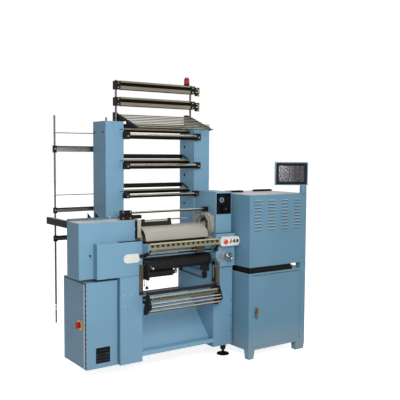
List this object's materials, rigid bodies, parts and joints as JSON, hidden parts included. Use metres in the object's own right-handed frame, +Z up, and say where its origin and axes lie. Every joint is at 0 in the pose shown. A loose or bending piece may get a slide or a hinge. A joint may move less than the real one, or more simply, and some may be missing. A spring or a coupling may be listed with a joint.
{
  "type": "crochet knitting machine",
  "caption": "Crochet knitting machine with needle bed, take-down rollers, yarn racks over two columns, gearbox, electrical cabinet and electronics box with operator panel.",
  "frame": {"origin": "on the floor at the middle of the machine's bounding box", "axes": "+X to the machine's right hand end, the electronics box; -Y towards the operator; +Z up"},
  "size_m": [2.0998, 0.9278, 2.434],
  "materials": {
    "blue_paint": "satin",
    "black_paint": "satin",
    "grey_paint": "satin",
    "olive_paint": "satin",
    "chrome": "polished",
    "steel": "brushed",
    "bar_alloy": "anodised",
    "comb_brass": "brushed",
    "roller_rubber": "matte",
    "belt_rubber": "matte",
    "black_plastic": "matte",
    "white_plastic": "gloss",
    "red_plastic": "gloss",
    "green_plastic": "gloss",
    "amber_plastic": "gloss",
    "dark_red_plastic": "gloss",
    "screen": "gloss"
  },
  "bodies": {
    "machine": {"base_pan": "blue_paint", "beacon_base": "black_plastic", "beacon_dome": "red_plastic", "belt_drive": "belt_rubber", "box_spacers": "black_plastic", "cabinet_shell": "blue_paint", "comb_bar": "comb_brass", "control_box": "white_plastic", "drive_unit": "black_plastic", "electronics_box": "blue_paint", "foot_pads": "black_plastic", "foot_stems": "steel", "front_rods": "chrome", "gearbox_cover": "blue_paint", "guide_bars": "bar_alloy", "head_cover": "grey_paint", "head_plates": "grey_paint", "hmi_post": "blue_paint", "left_column": "blue_paint", "left_gearbox": "blue_paint", "left_leg": "blue_paint", "lower_housing": "blue_paint", "rack_plates": "black_paint", "rack_posts": "chrome", "rack_rods": "chrome", "rear_beams": "blue_paint", "right_column": "blue_paint", "right_leg": "blue_paint", "ring_housing": "grey_paint", "rod_clamps": "black_paint", "roller_brackets": "black_paint", "row_guides": "bar_alloy", "row_supports": "black_paint", "side_rails": "olive_paint", "stand_body": "blue_paint", "upper_housing": "blue_paint"},
    "cabinet_door": {"cabinet_door": "blue_paint"},
    "main_switch": {"switch_handle": "red_plastic"},
    "stand_door": {"stand_door": "blue_paint"},
    "door_handle": {"stand_handle": "red_plastic"},
    "operator_panel": {"hmi_housing": "blue_paint", "hmi_screen": "screen"},
    "estop": {"estop_button": "red_plastic"},
    "start": {"start_button": "amber_plastic"},
    "jog": {"jog_button": "green_plastic"},
    "stop": {"stop_button": "dark_red_plastic"},
    "handwheel": {"handwheel": "chrome"},
    "main_shaft": {"main_shaft": "steel"},
    "upper_gear": {"upper_gear": "steel"},
    "lower_gear": {"lower_gear": "steel"},
    "feed_roller_top": {"feed_roller_top": "steel"},
    "feed_roller_middle": {"feed_roller_middle": "steel"},
    "feed_roller_bottom": {"feed_roller_bottom": "steel"},
    "needle_bar": {"needle_bar": "steel"},
    "weft_tube": {"weft_tube": "chrome"},
    "push_rod": {"push_rod": "chrome"},
    "takedown_roller": {"takedown_roller": "roller_rubber"},
    "press_roller": {"press_roller": "roller_rubber"},
    "takeoff_roller": {"takeoff_roller": "chrome"},
    "tension_lever": {"tension_lever": "chrome"}
  },
  "joints": [
    {"name": "cabinet_door_hinge", "type": "hinge", "parent": "machine", "child": "cabinet_door", "pos_m": [-0.99203, 0.21449, 0.4375], "axis": [0, 0, -1], "range_deg": [0, 105]},
    {"name": "main_switch_turn", "type": "hinge", "parent": "cabinet_door", "child": "main_switch", "pos_m": [-1.00453, -0.07751, 0.432], "axis": [1, 0, 0], "range_deg": [0, 90]},
    {"name": "stand_door_hinge", "type": "hinge", "parent": "machine", "child": "stand_door", "pos_m": [0.95947, -0.42351, 0.414], "axis": [0, 0, 1], "range_deg": [0, 105]},
    {"name": "door_handle_turn", "type": "hinge", "parent": "stand_door", "child": "door_handle", "pos_m": [0.46447, -0.43451, 0.402], "axis": [0, 1, 0], "range_deg": [0, 90]},
    {"name": "panel_swivel", "type": "hinge", "parent": "machine", "child": "operator_panel", "pos_m": [1.00547, -0.42251, 1.484], "axis": [0, 0, 1], "range_deg": [-60, 50]},
    {"name": "estop_press", "type": "slide", "parent": "machine", "child": "estop", "axis": [0, 1, 0], "range_m": [0, 0.006], "stiffness_N_per_m": 800},
    {"name": "start_press", "type": "slide", "parent": "machine", "child": "start", "axis": [0, 1, 0], "range_m": [0, 0.004], "stiffness_N_per_m": 400},
    {"name": "jog_press", "type": "slide", "parent": "machine", "child": "jog", "axis": [0, 1, 0], "range_m": [0, 0.004], "stiffness_N_per_m": 400},
    {"name": "stop_press", "type": "slide", "parent": "machine", "child": "stop", "axis": [0, 1, 0], "range_m": [0, 0.004], "stiffness_N_per_m": 400},
    {"name": "handwheel_turn", "type": "hinge", "parent": "machine", "child": "handwheel", "pos_m": [0.28947, -0.25251, 0.882], "axis": [0, 1, 0], "continuous": true},
    {"name": "main_shaft_turn", "type": "hinge", "parent": "machine", "child": "main_shaft", "pos_m": [-0.43053, -0.13051, 1.122], "axis": [1, 0, 0], "continuous": true},
    {"name": "upper_gear_turn", "type": "hinge", "parent": "machine", "child": "upper_gear", "pos_m": [0.26047, -0.18851, 1.366], "axis": [0, 1, 0], "continuous": true},
    {"name": "lower_gear_turn", "type": "hinge", "parent": "machine", "child": "lower_gear", "pos_m": [0.3041, -0.18851, 1.28728], "axis": [0, 1, 0], "continuous": true},
    {"name": "feed_roller_top_turn", "type": "hinge", "parent": "machine", "child": "feed_roller_top", "pos_m": [-0.18053, 0.04549, 1.90103], "axis": [1, 0, 0], "continuous": true},
    {"name": "feed_roller_middle_turn", "type": "hinge", "parent": "machine", "child": "feed_roller_middle", "pos_m": [-0.18053, 0.04549, 1.65297], "axis": [1, 0, 0], "continuous": true},
    {"name": "feed_roller_bottom_turn", "type": "hinge", "parent": "machine", "child": "feed_roller_bottom", "pos_m": [-0.18053, 0.04549, 1.40799], "axis": [1, 0, 0], "continuous": true},
    {"name": "needle_bar_stroke", "type": "slide", "parent": "machine", "child": "needle_bar", "axis": [0, -1, 0], "range_m": [0, 0.012]},
    {"name": "weft_tube_shog", "type": "slide", "parent": "machine", "child": "weft_tube", "axis": [1, 0, 0], "range_m": [-0.02, 0.02]},
    {"name": "push_rod_shog", "type": "slide", "parent": "machine", "child": "push_rod", "axis": [1, 0, 0], "range_m": [-0.008, 0.008]},
    {"name": "takedown_roller_turn", "type": "hinge", "parent": "machine", "child": "takedown_roller", "pos_m": [-0.18053, -0.16251, 0.867], "axis": [1, 0, 0], "continuous": true},
    {"name": "press_roller_turn", "type": "hinge", "parent": "machine", "child": "press_roller", "pos_m": [-0.43053, -0.15651, 0.78321], "axis": [1, 0, 0], "continuous": true},
    {"name": "takeoff_roller_turn", "type": "hinge", "parent": "machine", "child": "takeoff_roller", "pos_m": [-0.18053, -0.34551, 0.554], "axis": [1, 0, 0], "continuous": true},
    {"name": "tension_lever_swing", "type": "hinge", "parent": "machine", "child": "tension_lever", "pos_m": [-0.51833, -0.24951, 0.884], "axis": [-1, 0, 0], "range_deg": [-5, 35]}
  ],
  "couplings": [
    {"joint": "upper_gear_turn", "follows": "main_shaft_turn", "ratio": 1},
    {"joint": "lower_gear_turn", "follows": "main_shaft_turn", "ratio": -1.25},
    {"joint": "handwheel_turn", "follows": "main_shaft_turn", "ratio": 1},
    {"joint": "press_roller_turn", "follows": "takedown_roller_turn", "ratio": -1.9298}
  ]
}
